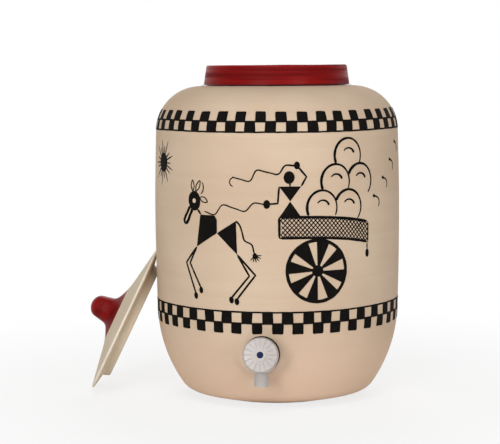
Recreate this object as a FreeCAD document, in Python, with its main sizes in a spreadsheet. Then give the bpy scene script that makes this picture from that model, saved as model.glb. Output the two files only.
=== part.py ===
import FreeCAD, Part
import math
import os

import Sketcher

# Clay water pot with a plastic tap and a clay lid. Millimetres, +Z up.
# The origin is the middle of the pot's foot, on the surface that it stands on.
# The pot is on the Z axis and its tap is at the front, towards -Y.

# Driving sizes: name, value, what it is
SIZES = (
    ("pot_height", 355, "foot to rim"),
    ("foot_radius", 64, "flat that the pot stands on"),
    ("heel_radius", 92.7, "outer end of the sloping underside"),
    ("heel_height", 6.95, "height of that end"),
    ("lower_radius", 104, "where the heel turns into the lower wall"),
    ("lower_height", 15, "height of that place"),
    ("barrel_radius", 130, "wall at both ends of its upright stretch"),
    ("barrel_foot", 100, "height where the upright stretch starts"),
    ("heel_arc", 20, "roundness of the heel"),
    ("lower_arc", 151, "roundness of the lower wall"),
    ("barrel_arc", 2900, "slight swell of the upright stretch"),
    ("neck_height", 21, "rim above the crease at the foot of the neck"),
    ("neck_foot_radius", 78.3, "outer neck at that crease"),
    ("neck_crease", 1.5, "height of the crease above the shoulder"),
    ("neck_ledge", 3.7, "shoulder's level top outside the neck"),
    ("rim_radius", 75.7, "outer neck at the rim"),
    ("rim_round", 2.5, "rounding of the rim"),
    ("mouth_radius", 69.5, "inside of the neck"),
    ("mouth_depth", 25, "straight inside of the neck"),
    ("wall", 9, "thickness of the clay wall"),
    ("floor", 11, "thickness of the clay under the water"),
    ("tap_yaw", 4.2, "turn of the tap towards the pot's left, degrees"),
    ("tap_offset", -8.8, "tap axis to the side of the pot's axis"),
    ("tap_height", 62.8, "height of the tap's shank"),
    ("seat_stand", 1.08, "outer flat for the tap in front of the wall at that height"),
    ("seat_radius", 19.5, "radius of the outer flat"),
    ("seat_flare", 25, "slope of the clay built up round it, degrees"),
    ("seat_wall", 10, "clay between the outer and the inner flat"),
    ("inner_seat_radius", 17, "radius of the inner flat"),
    ("shank_radius", 8, "outside of the threaded shank"),
    ("shank_clearance", 0.4, "shank to the clay and to the washers"),
    ("shank_length", 27, "shank behind the outer flat"),
    ("flow_radius", 4, "water way in the shank"),
    ("outer_washer_radius", 18.5, "rubber washer outside the pot"),
    ("inner_washer_radius", 15, "rubber washer inside the pot"),
    ("washer_thickness", 3, "both rubber washers"),
    ("nut_width", 25, "back nut across its flats"),
    ("nut_thickness", 8, "back nut along the shank"),
    ("nut_clearance", 0.05, "back nut to shank"),
    ("flange_radius", 13.5, "flange that presses the outer washer"),
    ("flange_thickness", 2, "the same"),
    ("neck_radius", 9, "tap between its flange and its barrel"),
    ("pivot", 12.5, "where shank axis and knob axis meet, from the outer flat"),
    ("knob_tilt", 12.5, "knob axis above the shank axis, degrees"),
    ("barrel_radius_tap", 10.5, "valve barrel of the tap"),
    ("barrel_back", 5.5, "barrel behind the pivot"),
    ("barrel_front", 6.5, "barrel in front of the pivot"),
    ("chamber_radius", 7, "valve chamber"),
    ("seat_back", 1.5, "valve seat behind the pivot"),
    ("spout_distance", 13, "spout axis from the outer flat"),
    ("spout_radius", 7.2, "outside of the spout"),
    ("spout_bore", 4.8, "radius of the water way in the spout"),
    ("spout_drop", 30.7, "outlet below the shank axis"),
    ("spout_top", 5, "upper end of the spout inside the barrel, below the shank axis"),
    ("spout_bore_top", 6.2, "upper end of the spout's water way, below the shank axis"),
    ("gasket_thickness", 0.8, "fibre ring under the bonnet"),
    ("bonnet_radius", 10.2, "flange of the bonnet"),
    ("bonnet_flange", 2.5, "thickness of that flange"),
    ("plug_clearance", 0.1, "bonnet to the wall of the chamber"),
    ("gland_radius", 5, "nose of the bonnet round the spindle"),
    ("gland_length", 2.2, "the same, in front of the flange"),
    ("spindle_radius", 3, "spindle that the knob turns"),
    ("running_clearance", 0.05, "spindle to bonnet and plunger to spindle"),
    ("collar_radius", 4.5, "collar that keeps the spindle in the bonnet"),
    ("collar_thickness", 1, "the same"),
    ("ring_section", 0.5, "section radius of the spindle's sealing ring"),
    ("disc_radius", 6, "valve washer"),
    ("disc_thickness", 2, "the same"),
    ("disc_lift", 0.05, "valve washer to its seat when it just touches"),
    ("plate_radius", 6.2, "plate that holds the valve washer"),
    ("plate_thickness", 1, "the same"),
    ("nub_radius", 1.4, "nub through the valve washer"),
    ("nub_length", 1.6, "the same"),
    ("plunger_radius", 1.9, "stem of the plunger in the spindle"),
    ("plunger_length", 4, "the same"),
    ("knob_back", 8.6, "back edge of the knob in front of the pivot"),
    ("knob_radius", 18.3, "knob at its back edge"),
    ("knob_face_radius", 17.3, "knob at its face"),
    ("knob_face", 17.3, "middle of the knob's face in front of the pivot"),
    ("knob_crown", 1.2, "how far the face's edge lies behind its middle"),
    ("knob_edge", 1.6, "rounding of the knob's front edge"),
    ("knob_shell", 2.2, "wall of the hollow knob"),
    ("hub_radius", 6.5, "hub inside the knob"),
    ("hub_clearance", 0.2, "hub to the bonnet's nose"),
    ("boss_radius", 6.2, "raised middle of the knob"),
    ("boss_rise", 0.9, "the same, above the face"),
    ("cap_radius", 3.4, "coloured cap in the raised middle"),
    ("cap_thickness", 1.6, "the same"),
    ("cap_dome", 0.3, "rounding of the cap's edge"),
    ("screw_head_radius", 2.7, "screw that holds the knob"),
    ("screw_head_height", 1.8, "the same"),
    ("screw_radius", 1.3, "thread of that screw"),
    ("screw_length", 5, "screw under its head"),
    ("web_thickness", 1, "knob between spindle end and screw head"),
    ("flute_width", 1.7, "flutes of the knob's face"),
    ("flute_depth", 0.7, "the same"),
    ("flute_start", 8.2, "inner end of a flute from the knob's axis"),
    ("flute_count", 16, "flutes round the knob"),
    ("lead", 3, "travel of the spindle in one turn"),
    ("knob_turns", 0.75, "turn of the knob from shut to open"),
    ("end_clearance", 0.2, "spindle's collar to the bonnet when the valve is open"),
    ("lid_radius", 85, "clay lid"),
    ("lid_rise", 9.2, "height of the lid's brim under its knob"),
    ("lid_knob_foot", 42, "radius where the brim meets the knob's skirt"),
    ("lid_brim_drop", 3.3, "underside of the brim at the ring"),
    ("lid_edge", 2, "thickness of the brim's edge"),
    ("ring_radius", 67, "locating ring where it leaves the brim"),
    ("ring_end_radius", 64.5, "locating ring at its end"),
    ("ring_depth", 10.7, "end of the ring under the brim's edge"),
    ("ring_wall", 6.5, "thickness of the ring's end"),
    ("hollow_slope", 4, "how much narrower the hollow is at its bottom"),
    ("lid_knob_sweep", 75, "hollow roundness of the skirt"),
    ("lid_skirt_radius", 18.5, "radius where the skirt turns up into the knob"),
    ("lid_skirt_height", 16.8, "height of that place"),
    ("lid_skirt_round", 7.5, "hollow roundness from the skirt to the knob's side"),
    ("lid_knob_waist", 14.6, "radius of the knob at the foot of its side"),
    ("lid_waist_height", 21.5, "height of that place"),
    ("lid_head_radius", 12.1, "radius of the knob at the top of its side"),
    ("lid_head_height", 33.5, "height of that place"),
    ("lid_head_round", 9.6, "roundness of the head's edge"),
    ("lid_crown_radius", 8.2, "where the head's edge meets its crown"),
    ("lid_crown_height", 39.1, "height of that place"),
    ("lid_knob_height", 41.8, "top of the knob"),
    ("lid_lean", 64.3, "lean of the lid against the pot, degrees from level"),
    ("lid_depth", 34, "middle of the lid behind the pot's axis"),
    ("lid_gap", 0.3, "lid's edge to the wall that it leans on"),
)

# Worked out from the sizes above: name, formula
WORKED = (
    ("neck_foot_height", "=Sizes.pot_height - Sizes.neck_height"),
    ("shoulder_height", "=Derived.neck_foot_height - Sizes.neck_crease"),
    ("shoulder_radius", "=Sizes.neck_foot_radius + Sizes.neck_ledge"),
    ("shoulder_arc", "=Sizes.barrel_radius - Derived.shoulder_radius"),
    ("barrel_top", "=Derived.shoulder_height - Derived.shoulder_arc"),
    ("rim_side", "=Sizes.pot_height - Sizes.rim_round"),
    ("rim_crown_out", "=Sizes.rim_radius - Sizes.rim_round"),
    ("rim_crown_in", "=Sizes.mouth_radius + Sizes.rim_round"),
    ("lower_run", "=Sizes.barrel_radius - Sizes.lower_radius"),
    ("lower_climb", "=Sizes.barrel_foot - Sizes.lower_height"),
    ("lower_chord", "=sqrt(Derived.lower_run ^ 2 + Derived.lower_climb ^ 2)"),
    ("lower_arc_depth", "=sqrt(Sizes.lower_arc ^ 2 - Derived.lower_chord ^ 2 / 4)"),
    ("lower_centre_radius", "=(Sizes.lower_radius + Sizes.barrel_radius) / 2"
                            " - Derived.lower_climb / Derived.lower_chord * Derived.lower_arc_depth"),
    ("lower_centre_height", "=(Sizes.lower_height + Sizes.barrel_foot) / 2"
                            " + Derived.lower_run / Derived.lower_chord * Derived.lower_arc_depth"),
    ("wall_at_tap", "=Derived.lower_centre_radius"
                    " + sqrt(Sizes.lower_arc ^ 2 - (Sizes.tap_height - Derived.lower_centre_height) ^ 2)"),
    ("seat_distance", "=Derived.wall_at_tap + Sizes.seat_stand"),
    ("lower_slope", "=atan(Derived.lower_climb / Derived.lower_run)"
                    " - asin(Derived.lower_chord / 2 / Sizes.lower_arc)"),
    ("underside_slope", "=atan(Sizes.heel_height / (Sizes.heel_radius - Sizes.foot_radius))"),
    ("inner_heel_radius", "=Sizes.heel_radius - Sizes.wall * sin(Derived.underside_slope)"),
    ("inner_heel_height", "=Sizes.heel_height + Sizes.wall * cos(Derived.underside_slope)"),
    ("inner_lower_radius", "=Sizes.lower_radius - Sizes.wall * sin(Derived.lower_slope)"),
    ("inner_lower_height", "=Sizes.lower_height + Sizes.wall * cos(Derived.lower_slope)"),
    ("inner_heel_arc", "=Sizes.heel_arc - Sizes.wall"),
    ("inner_lower_arc", "=Sizes.lower_arc - Sizes.wall"),
    ("inner_barrel_radius", "=Sizes.barrel_radius - Sizes.wall"),
    ("inner_barrel_arc", "=Sizes.barrel_arc - Sizes.wall"),
    ("inner_shoulder_arc", "=Derived.shoulder_arc - Sizes.wall"),
    ("inner_shoulder_height", "=Derived.shoulder_height - Sizes.wall"),
    ("neck_bore_foot", "=Sizes.pot_height - Sizes.mouth_depth"),
    ("belly_radius", "=Sizes.barrel_radius + Sizes.barrel_arc"
                     " - sqrt(Sizes.barrel_arc ^ 2 - (Derived.barrel_top - Sizes.barrel_foot) ^ 2 / 4)"),
    ("seat_pad_depth", "=Derived.seat_distance - Sizes.lower_radius"),
    ("shank_hole", "=Sizes.shank_radius + Sizes.shank_clearance"),
    ("flange_front", "=Sizes.washer_thickness + Sizes.flange_thickness"),
    ("bonnet_back", "=Sizes.barrel_front + Sizes.gasket_thickness"),
    ("bonnet_front", "=Derived.bonnet_back + Sizes.bonnet_flange"),
    ("plug_radius", "=Sizes.chamber_radius - Sizes.plug_clearance"),
    ("gland_front", "=Derived.bonnet_front + Sizes.gland_length"),
    ("spindle_hole", "=Sizes.spindle_radius + Sizes.running_clearance"),
    ("disc_back", "=Sizes.disc_lift - Sizes.seat_back"),
    ("plate_back", "=Derived.disc_back + Sizes.disc_thickness"),
    ("plate_front", "=Derived.plate_back + Sizes.plate_thickness"),
    ("nub_end", "=Derived.plate_back - Sizes.nub_length"),
    ("plunger_end", "=Derived.plate_front + Sizes.plunger_length"),
    ("collar_back", "=Derived.plate_front + Sizes.running_clearance"),
    ("collar_front", "=Derived.collar_back + Sizes.collar_thickness"),
    ("plug_back", "=Derived.collar_front + Sizes.lead * Sizes.knob_turns + Sizes.end_clearance"),
    ("plunger_hole", "=Sizes.plunger_radius + Sizes.running_clearance"),
    ("plunger_hole_end", "=Derived.plunger_end + Sizes.ring_section"),
    ("boss_front", "=Sizes.knob_face + Sizes.boss_rise"),
    ("cap_back", "=Derived.boss_front - Sizes.cap_thickness"),
    ("cap_shoulder", "=Derived.boss_front - Sizes.cap_dome"),
    ("cap_face_radius", "=Sizes.cap_radius - Sizes.cap_dome"),
    ("screw_head_back", "=Derived.cap_back - Sizes.screw_head_height"),
    ("spindle_end", "=Derived.screw_head_back - Sizes.web_thickness"),
    ("screw_end", "=Derived.screw_head_back - Sizes.screw_length"),
    ("ring_centre", "=(Derived.bonnet_back + Derived.bonnet_front) / 2"),
    ("ring_circle", "=Sizes.spindle_radius - Sizes.ring_section"),
    ("groove_floor", "=Derived.ring_circle - Sizes.ring_section"),
    ("groove_back", "=Derived.ring_centre - Sizes.ring_section"),
    ("groove_front", "=Derived.ring_centre + Sizes.ring_section"),
    ("hub_back", "=Derived.gland_front + Sizes.hub_clearance"),
    ("knob_edge_height", "=Sizes.knob_face - Sizes.knob_crown"),
    ("knob_shoulder", "=Derived.knob_edge_height - Sizes.knob_edge"),
    ("knob_face_turn", "=Sizes.knob_face_radius - Sizes.knob_edge"),
    ("knob_hollow_radius", "=Sizes.knob_radius - Sizes.knob_shell"),
    ("knob_ceiling_radius", "=Sizes.knob_face_radius - Sizes.knob_shell"),
    ("knob_ceiling", "=Derived.knob_edge_height - Sizes.knob_shell"),
    ("flute_floor", "=Sizes.knob_face - Sizes.knob_crown - Sizes.flute_depth"),
    ("lid_ring_inner", "=Sizes.ring_end_radius - Sizes.ring_wall"),
    ("lid_hollow_floor", "=Derived.lid_ring_inner - Sizes.hollow_slope"),
    ("lid_crown_rise", "=Sizes.lid_knob_height - Sizes.lid_crown_height"),
    ("lid_crown_arc", "=(Sizes.lid_crown_radius ^ 2 + Derived.lid_crown_rise ^ 2)"
                      " / 2 / Derived.lid_crown_rise"),
    ("lid_top_x", "=Sizes.lid_depth ^ 2 * cos(Sizes.lid_lean)"
                  " / 2 / (Sizes.lid_radius + Derived.belly_radius * cos(Sizes.lid_lean))"
                  " - Derived.belly_radius - Sizes.lid_gap"),
    ("lid_x", "=Derived.lid_top_x - Sizes.lid_radius * cos(Sizes.lid_lean)"),
    ("lid_z", "=Sizes.lid_radius * sin(Sizes.lid_lean)"),
)


# The document and its two sheets
doc = FreeCAD.newDocument("clay_water_pot")


def add_sheet(label, rows):
    sheet = doc.addObject("Spreadsheet::Sheet", label)
    for number, entry in enumerate(rows, start=1):
        sheet.set(f"A{number}", entry[0])
        sheet.set(f"B{number}", str(entry[1]))
        sheet.setAlias(f"B{number}", entry[0])
        if len(entry) > 2:
            sheet.set(f"C{number}", entry[2])
    doc.recompute()
    return sheet


sizes = add_sheet("Sizes", SIZES)
derived = add_sheet("Derived", WORKED)
SIZE_NAMES = [entry[0] for entry in SIZES]


def cell(name):
    """The full name of a size, as an expression reads it."""
    if name in SIZE_NAMES:
        return "Sizes." + name
    return "Derived." + name


def number(name):
    """The value of a size."""
    sheet = sizes if name in SIZE_NAMES else derived
    return float(sheet.get(name))


# Frames, as expressions: the pot's turned frame, the tap's along its shank, the knob's along its spindle
def moved(x, y, z):
    return f"create(<<placement>>; create(<<vector>>; {x}; {y}; {z}); create(<<rotation>>; 0; 0; 0))"


def turned(x, y, z, angle):
    turn = f"create(<<rotation>>; create(<<vector>>; {x}; {y}; {z}); {angle})"
    return f"create(<<placement>>; create(<<vector>>; 0; 0; 0); {turn})"


POT_FRAME = turned(0, 0, 1, "-Sizes.tap_yaw")
TAP_FRAME = " * ".join((
    POT_FRAME,
    moved("Sizes.tap_offset", "-Derived.seat_distance", "Sizes.tap_height"),
    turned(1, 0, 0, 90),
))
KNOB_FRAME = " * ".join((TAP_FRAME, moved(0, 0, "Sizes.pivot"), turned(1, 0, 0, "-Sizes.knob_tilt")))
LID_FRAME = " * ".join((
    moved("Derived.lid_x", "Sizes.lid_depth", "Derived.lid_z"),
    turned(0, 1, 0, "-Sizes.lid_lean"),
))


# Builders shared by the pieces
parts = []


def finish_piece(piece, label, frame):
    """Name a piece, put it in its frame and list it for writing."""
    piece.Label = label
    piece.setExpression("Placement", frame)
    parts.append(piece)
    return piece


def origin_plane(body, role):
    for feature in body.Origin.OriginFeatures:
        if feature.Role == role:
            return feature
    raise ValueError(role)


def new_sketch(body, name, role):
    sketch = body.newObject("Sketcher::SketchObject", name)
    sketch.AttachmentSupport = [(origin_plane(body, role), "")]
    sketch.MapMode = "FlatFace"
    return sketch


def arc_between(start, end, radius):
    """The short arc from start to end. A positive radius turns anticlockwise."""
    chord = end - start
    half = chord.Length / 2
    side = math.copysign(1, radius)
    left = FreeCAD.Vector(-chord.y, chord.x, 0).normalize()
    centre = start + chord / 2 + left * side * math.sqrt(max(radius * radius - half * half, 0))
    first = math.atan2(start.y - centre.y, start.x - centre.x)
    last = math.atan2(end.y - centre.y, end.x - centre.x)
    if side < 0:
        first, last = last, first
    circle = Part.Circle(centre, FreeCAD.Vector(0, 0, 1), abs(radius))
    return Part.ArcOfCircle(circle, first, last)


def draw_outline(sketch, corners):
    """Draw a closed outline. A corner is (radius size, height size, arc size or None to the next).

    A size of None is 0: on the axis, or level with the frame's origin.
    A minus sign before a height puts it below the origin, and before an arc makes it hollow.
    """
    def signed(name):
        if name is None:
            return 0.0, None
        if name.startswith("-"):
            return -number(name[1:]), "-" + cell(name[1:])
        return number(name), cell(name)

    places = []
    for across, up, _ in corners:
        places.append(FreeCAD.Vector(signed(across)[0], signed(up)[0], 0))
    ends = []
    for index, corner in enumerate(corners):
        start = places[index]
        end = places[(index + 1) % len(places)]
        if corner[2] is None:
            edge = sketch.addGeometry(Part.LineSegment(start, end), False)
            ends.append((edge, 1, 2))
            continue
        radius, expression = signed(corner[2])
        edge = sketch.addGeometry(arc_between(start, end, radius), False)
        ends.append((edge, 1, 2) if radius > 0 else (edge, 2, 1))
        bound = sketch.addConstraint(Sketcher.Constraint("Radius", edge, abs(radius)))
        sketch.setExpression(f"Constraints[{bound}]", expression.lstrip("-"))
    for index, (edge, _, last) in enumerate(ends):
        following, first, _ = ends[(index + 1) % len(ends)]
        sketch.addConstraint(Sketcher.Constraint("Coincident", edge, last, following, first))
    for (edge, first, _), (across, up, _) in zip(ends, corners):
        for kind, name, axis in (("DistanceX", across, -2), ("DistanceY", up, -1)):
            value, expression = signed(name)
            if expression is None:
                sketch.addConstraint(Sketcher.Constraint("PointOnObject", edge, first, axis))
                continue
            bound = sketch.addConstraint(Sketcher.Constraint(kind, -1, 1, edge, first, value))
            sketch.setExpression(f"Constraints[{bound}]", expression)


def revolve(body, name, corners, cut=False):
    """Turn an outline round the body's Z axis, to add clay or plastic or to take it away."""
    sketch = new_sketch(body, name + "_outline", "XZ_Plane")
    draw_outline(sketch, corners)
    kind = "PartDesign::Groove" if cut else "PartDesign::Revolution"
    feature = body.newObject(kind, name)
    feature.Profile = sketch
    feature.ReferenceAxis = (sketch, ["V_Axis"])
    feature.Angle = 360
    doc.recompute()
    return feature


def disc_feature(body, name, kind, radius, place, length, into_pot, taper=None):
    """A round pad or pocket on a plane across the tap's shank, in the pot's turned frame."""
    sketch = new_sketch(body, name + "_circle", "XZ_Plane")
    sketch.setExpression("AttachmentOffset.Base.z", place)
    circle = Part.Circle(FreeCAD.Vector(number("tap_offset"), number("tap_height"), 0),
                         FreeCAD.Vector(0, 0, 1), number("seat_radius"))
    edge = sketch.addGeometry(circle, False)
    for kind_of, expression in (
        (Sketcher.Constraint("DistanceX", -1, 1, edge, 3, number("tap_offset")), "Sizes.tap_offset"),
        (Sketcher.Constraint("DistanceY", -1, 1, edge, 3, number("tap_height")), "Sizes.tap_height"),
        (Sketcher.Constraint("Radius", edge, number("seat_radius")), radius),
    ):
        bound = sketch.addConstraint(kind_of)
        sketch.setExpression(f"Constraints[{bound}]", expression)
    feature = body.newObject(kind, name)
    feature.Profile = sketch
    feature.setExpression("Length", length)
    feature.Reversed = into_pot
    if taper:
        feature.setExpression("TaperAngle", taper)
    doc.recompute()
    return feature


def rod(name, radius, start, end):
    """A cylinder along its frame's Z axis, from start to end."""
    cylinder = doc.addObject("Part::Cylinder", name)
    cylinder.setExpression("Radius", radius)
    cylinder.setExpression("Height", f"{end} - ({start})")
    cylinder.setExpression("Placement.Base.z", start)
    return cylinder


def cut(base, tool, name):
    result = doc.addObject("Part::Cut", name)
    result.Base = base
    result.Tool = tool
    return result


def fuse(shapes, name):
    result = doc.addObject("Part::MultiFuse", name)
    result.Shapes = shapes
    return result


def ring(label, outer, inner, start, end, frame):
    """A flat ring in its own node."""
    solid = cut(rod(label + "_disc", outer, start, end), rod(label + "_hole", inner, start, end), label)
    return finish_piece(solid, label, frame)


# The pot: a turned vessel, with a flat inside and outside for the tap
def make_pot_body():
    body = doc.addObject("PartDesign::Body", "pot_body")
    revolve(body, "vessel", (
        (None, None, None),
        ("foot_radius", None, None),
        ("heel_radius", "heel_height", "heel_arc"),
        ("lower_radius", "lower_height", "lower_arc"),
        ("barrel_radius", "barrel_foot", "barrel_arc"),
        ("barrel_radius", "barrel_top", "shoulder_arc"),
        ("shoulder_radius", "shoulder_height", None),
        ("neck_foot_radius", "neck_foot_height", None),
        ("rim_radius", "rim_side", "rim_round"),
        ("rim_crown_out", "pot_height", None),
        (None, "pot_height", None),
    ))
    disc_feature(body, "seat_pad", "PartDesign::Pad", "Sizes.seat_radius",
                 "Derived.seat_distance", "Derived.seat_pad_depth", True, "Sizes.seat_flare")
    disc_feature(body, "seat_face", "PartDesign::Pocket", "Sizes.seat_radius",
                 "Derived.seat_distance", "Sizes.wall", True)
    revolve(body, "hollow", (
        (None, "floor", None),
        ("foot_radius", "floor", None),
        ("inner_heel_radius", "inner_heel_height", "inner_heel_arc"),
        ("inner_lower_radius", "inner_lower_height", "inner_lower_arc"),
        ("inner_barrel_radius", "barrel_foot", "inner_barrel_arc"),
        ("inner_barrel_radius", "barrel_top", "inner_shoulder_arc"),
        ("shoulder_radius", "inner_shoulder_height", None),
        ("mouth_radius", "neck_bore_foot", None),
        ("mouth_radius", "rim_side", "-rim_round"),
        ("rim_crown_in", "pot_height", None),
        (None, "pot_height", None),
    ), cut=True)
    disc_feature(body, "inner_pad", "PartDesign::Pad", "Sizes.inner_seat_radius",
                 "Derived.seat_distance - Sizes.wall / 2", "Sizes.seat_wall - Sizes.wall / 2", True)
    disc_feature(body, "inner_face", "PartDesign::Pocket", "Sizes.inner_seat_radius",
                 "Derived.seat_distance - Sizes.seat_wall", "Derived.seat_pad_depth", False)
    disc_feature(body, "tap_hole", "PartDesign::Pocket", "Derived.shank_hole",
                 "Derived.seat_distance", "Sizes.shank_length", False)
    return finish_piece(body, "pot_body", POT_FRAME)


# The tap's fixed pieces, along the shank
def make_tap_body():
    outside = [
        rod("shank", "Sizes.shank_radius", "-Sizes.shank_length", "Derived.flange_front"),
        rod("flange", "Sizes.flange_radius", "Sizes.washer_thickness", "Derived.flange_front"),
        rod("tap_neck", "Sizes.neck_radius", "Derived.flange_front", "Sizes.pivot"),
    ]
    tilt = moved(0, 0, "Sizes.pivot") + " * " + turned(1, 0, 0, "-Sizes.knob_tilt")
    barrel = rod("barrel", "Sizes.barrel_radius_tap", "0", "Sizes.barrel_back + Sizes.barrel_front")
    barrel.setExpression("Placement", tilt + " * " + moved(0, 0, "-Sizes.barrel_back"))
    outside.append(barrel)
    down = turned(1, 0, 0, 90)
    spout = rod("spout", "Sizes.spout_radius", "0", "Sizes.spout_drop - Sizes.spout_top")
    spout.setExpression("Placement", moved(0, "-Sizes.spout_top", "Sizes.spout_distance") + " * " + down)
    outside.append(spout)
    chamber = rod("chamber", "Sizes.chamber_radius", "0", "Sizes.seat_back + Sizes.barrel_front")
    chamber.setExpression("Placement", tilt + " * " + moved(0, 0, "-Sizes.seat_back"))
    outlet = rod("outlet", "Sizes.spout_bore", "0", "Sizes.spout_drop - Sizes.spout_bore_top")
    outlet_start = moved(0, "-Sizes.spout_bore_top", "Sizes.spout_distance")
    outlet.setExpression("Placement", outlet_start + " * " + down)
    inlet = rod("inlet", "Sizes.flow_radius", "-Sizes.shank_length", "Sizes.pivot")
    solid = cut(fuse(outside, "tap_outside"), fuse([chamber, outlet, inlet], "tap_water_way"), "tap_body")
    return finish_piece(solid, "tap_body", TAP_FRAME)


def make_tap_seals():
    hole = "Derived.shank_hole"
    ring("outer_washer", "Sizes.outer_washer_radius", hole, "0", "Sizes.washer_thickness", TAP_FRAME)
    ring("inner_washer", "Sizes.inner_washer_radius", hole,
         "-Sizes.seat_wall - Sizes.washer_thickness", "-Sizes.seat_wall", TAP_FRAME)
    ring("bonnet_gasket", "Sizes.bonnet_radius", "Sizes.chamber_radius",
         "Sizes.barrel_front", "Derived.bonnet_back", KNOB_FRAME)


def make_back_nut():
    blank = doc.addObject("Part::Prism", "nut_blank")
    blank.Polygon = 6
    blank.setExpression("Circumradius", "Sizes.nut_width / 2 / cos(30)")
    blank.setExpression("Height", "Sizes.nut_thickness")
    back = "-Sizes.seat_wall - Sizes.washer_thickness - Sizes.nut_thickness"
    blank.setExpression("Placement.Base.z", back)
    front = "-Sizes.seat_wall - Sizes.washer_thickness"
    bore = rod("nut_bore", "Sizes.shank_radius + Sizes.nut_clearance", back, front)
    return finish_piece(cut(blank, bore, "back_nut"), "back_nut", TAP_FRAME)


def make_bonnet():
    body = doc.addObject("PartDesign::Body", "bonnet")
    revolve(body, "bonnet_turning", (
        ("spindle_hole", "plug_back", None),
        ("plug_radius", "plug_back", None),
        ("plug_radius", "bonnet_back", None),
        ("bonnet_radius", "bonnet_back", None),
        ("bonnet_radius", "bonnet_front", None),
        ("gland_radius", "bonnet_front", None),
        ("gland_radius", "gland_front", None),
        ("spindle_hole", "gland_front", None),
    ))
    return finish_piece(body, "bonnet", KNOB_FRAME)


# The valve's plunger, which slides without turning
def make_plunger():
    body = doc.addObject("PartDesign::Body", "valve_plunger")
    revolve(body, "plunger_turning", (
        (None, "nub_end", None),
        ("nub_radius", "nub_end", None),
        ("nub_radius", "plate_back", None),
        ("plate_radius", "plate_back", None),
        ("plate_radius", "plate_front", None),
        ("plunger_radius", "plate_front", None),
        ("plunger_radius", "plunger_end", None),
        (None, "plunger_end", None),
    ))
    finish_piece(body, "valve_plunger", KNOB_FRAME)
    ring("valve_washer", "Sizes.disc_radius", "Sizes.nub_radius",
         "Derived.disc_back", "Derived.plate_back", KNOB_FRAME)


# What turns with the knob
def make_spindle():
    body = doc.addObject("PartDesign::Body", "spindle")
    revolve(body, "spindle_turning", (
        ("plunger_hole", "collar_back", None),
        ("collar_radius", "collar_back", None),
        ("collar_radius", "collar_front", None),
        ("spindle_radius", "collar_front", None),
        ("spindle_radius", "groove_back", None),
        ("groove_floor", "groove_back", None),
        ("groove_floor", "groove_front", None),
        ("spindle_radius", "groove_front", None),
        ("spindle_radius", "spindle_end", None),
        ("screw_radius", "spindle_end", None),
        ("screw_radius", "screw_end", None),
        (None, "screw_end", None),
        (None, "plunger_hole_end", None),
        ("plunger_hole", "plunger_hole_end", None),
    ))
    finish_piece(body, "spindle", KNOB_FRAME)
    seal = doc.addObject("Part::Torus", "spindle_ring")
    seal.setExpression("Radius1", "Derived.ring_circle")
    seal.setExpression("Radius2", "Sizes.ring_section")
    finish_piece(seal, "spindle_seal", KNOB_FRAME + " * " + moved(0, 0, "Derived.ring_centre"))


def make_knob():
    body = doc.addObject("PartDesign::Body", "knob")
    revolve(body, "knob_turning", (
        ("spindle_radius", "hub_back", None),
        ("hub_radius", "hub_back", None),
        ("hub_radius", "knob_ceiling", None),
        ("knob_ceiling_radius", "knob_ceiling", None),
        ("knob_hollow_radius", "knob_back", None),
        ("knob_radius", "knob_back", None),
        ("knob_face_radius", "knob_shoulder", "knob_edge"),
        ("knob_face_turn", "knob_edge_height", None),
        ("boss_radius", "knob_face", None),
        ("boss_radius", "boss_front", None),
        ("cap_radius", "boss_front", None),
        ("cap_radius", "cap_back", None),
        ("screw_head_radius", "cap_back", None),
        ("screw_head_radius", "screw_head_back", None),
        ("screw_radius", "screw_head_back", None),
        ("screw_radius", "spindle_end", None),
        ("spindle_radius", "spindle_end", None),
    ))
    sketch = new_sketch(body, "flute_outline", "XY_Plane")
    sketch.setExpression("AttachmentOffset.Base.z", "Derived.flute_floor")
    start = number("flute_start")
    end = number("knob_radius")
    half = number("flute_width") / 2
    square = (
        FreeCAD.Vector(start, -half, 0),
        FreeCAD.Vector(end, -half, 0),
        FreeCAD.Vector(end, half, 0),
        FreeCAD.Vector(start, half, 0),
    )
    for index in range(4):
        sketch.addGeometry(Part.LineSegment(square[index], square[(index + 1) % 4]), False)
    for index in range(4):
        sketch.addConstraint(Sketcher.Constraint("Coincident", index, 2, (index + 1) % 4, 1))
    for edge, direction in ((0, "Horizontal"), (1, "Vertical"), (2, "Horizontal"), (3, "Vertical")):
        sketch.addConstraint(Sketcher.Constraint(direction, edge))
    for constraint, expression in (
        (Sketcher.Constraint("DistanceX", -1, 1, 0, 1, start), "Sizes.flute_start"),
        (Sketcher.Constraint("DistanceX", -1, 1, 1, 1, end), "Sizes.knob_radius"),
        (Sketcher.Constraint("DistanceY", 0, 1, 3, 1, 2 * half), "Sizes.flute_width"),
        (Sketcher.Constraint("DistanceY", -1, 1, 2, 1, half), "Sizes.flute_width / 2"),
    ):
        bound = sketch.addConstraint(constraint)
        sketch.setExpression(f"Constraints[{bound}]", expression)
    flute = body.newObject("PartDesign::Pocket", "flute")
    flute.Profile = sketch
    flute.setExpression("Length", "Sizes.knob_crown + Sizes.flute_depth")
    flute.Reversed = True
    doc.recompute()
    flutes = body.newObject("PartDesign::PolarPattern", "flutes")
    flutes.Originals = [flute]
    flutes.Axis = (sketch, ["N_Axis"])
    flutes.Angle = 360
    flutes.Occurrences = int(number("flute_count"))
    flutes.setExpression("Occurrences", "Sizes.flute_count")
    body.Tip = flutes
    doc.recompute()
    return finish_piece(body, "knob", KNOB_FRAME)


def make_knob_screw():
    head = rod("screw_head", "Sizes.screw_head_radius", "Derived.screw_head_back", "Derived.cap_back")
    thread = rod("screw_thread", "Sizes.screw_radius", "Derived.screw_end", "Derived.screw_head_back")
    return finish_piece(fuse([head, thread], "knob_screw"), "knob_screw", KNOB_FRAME)


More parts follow.
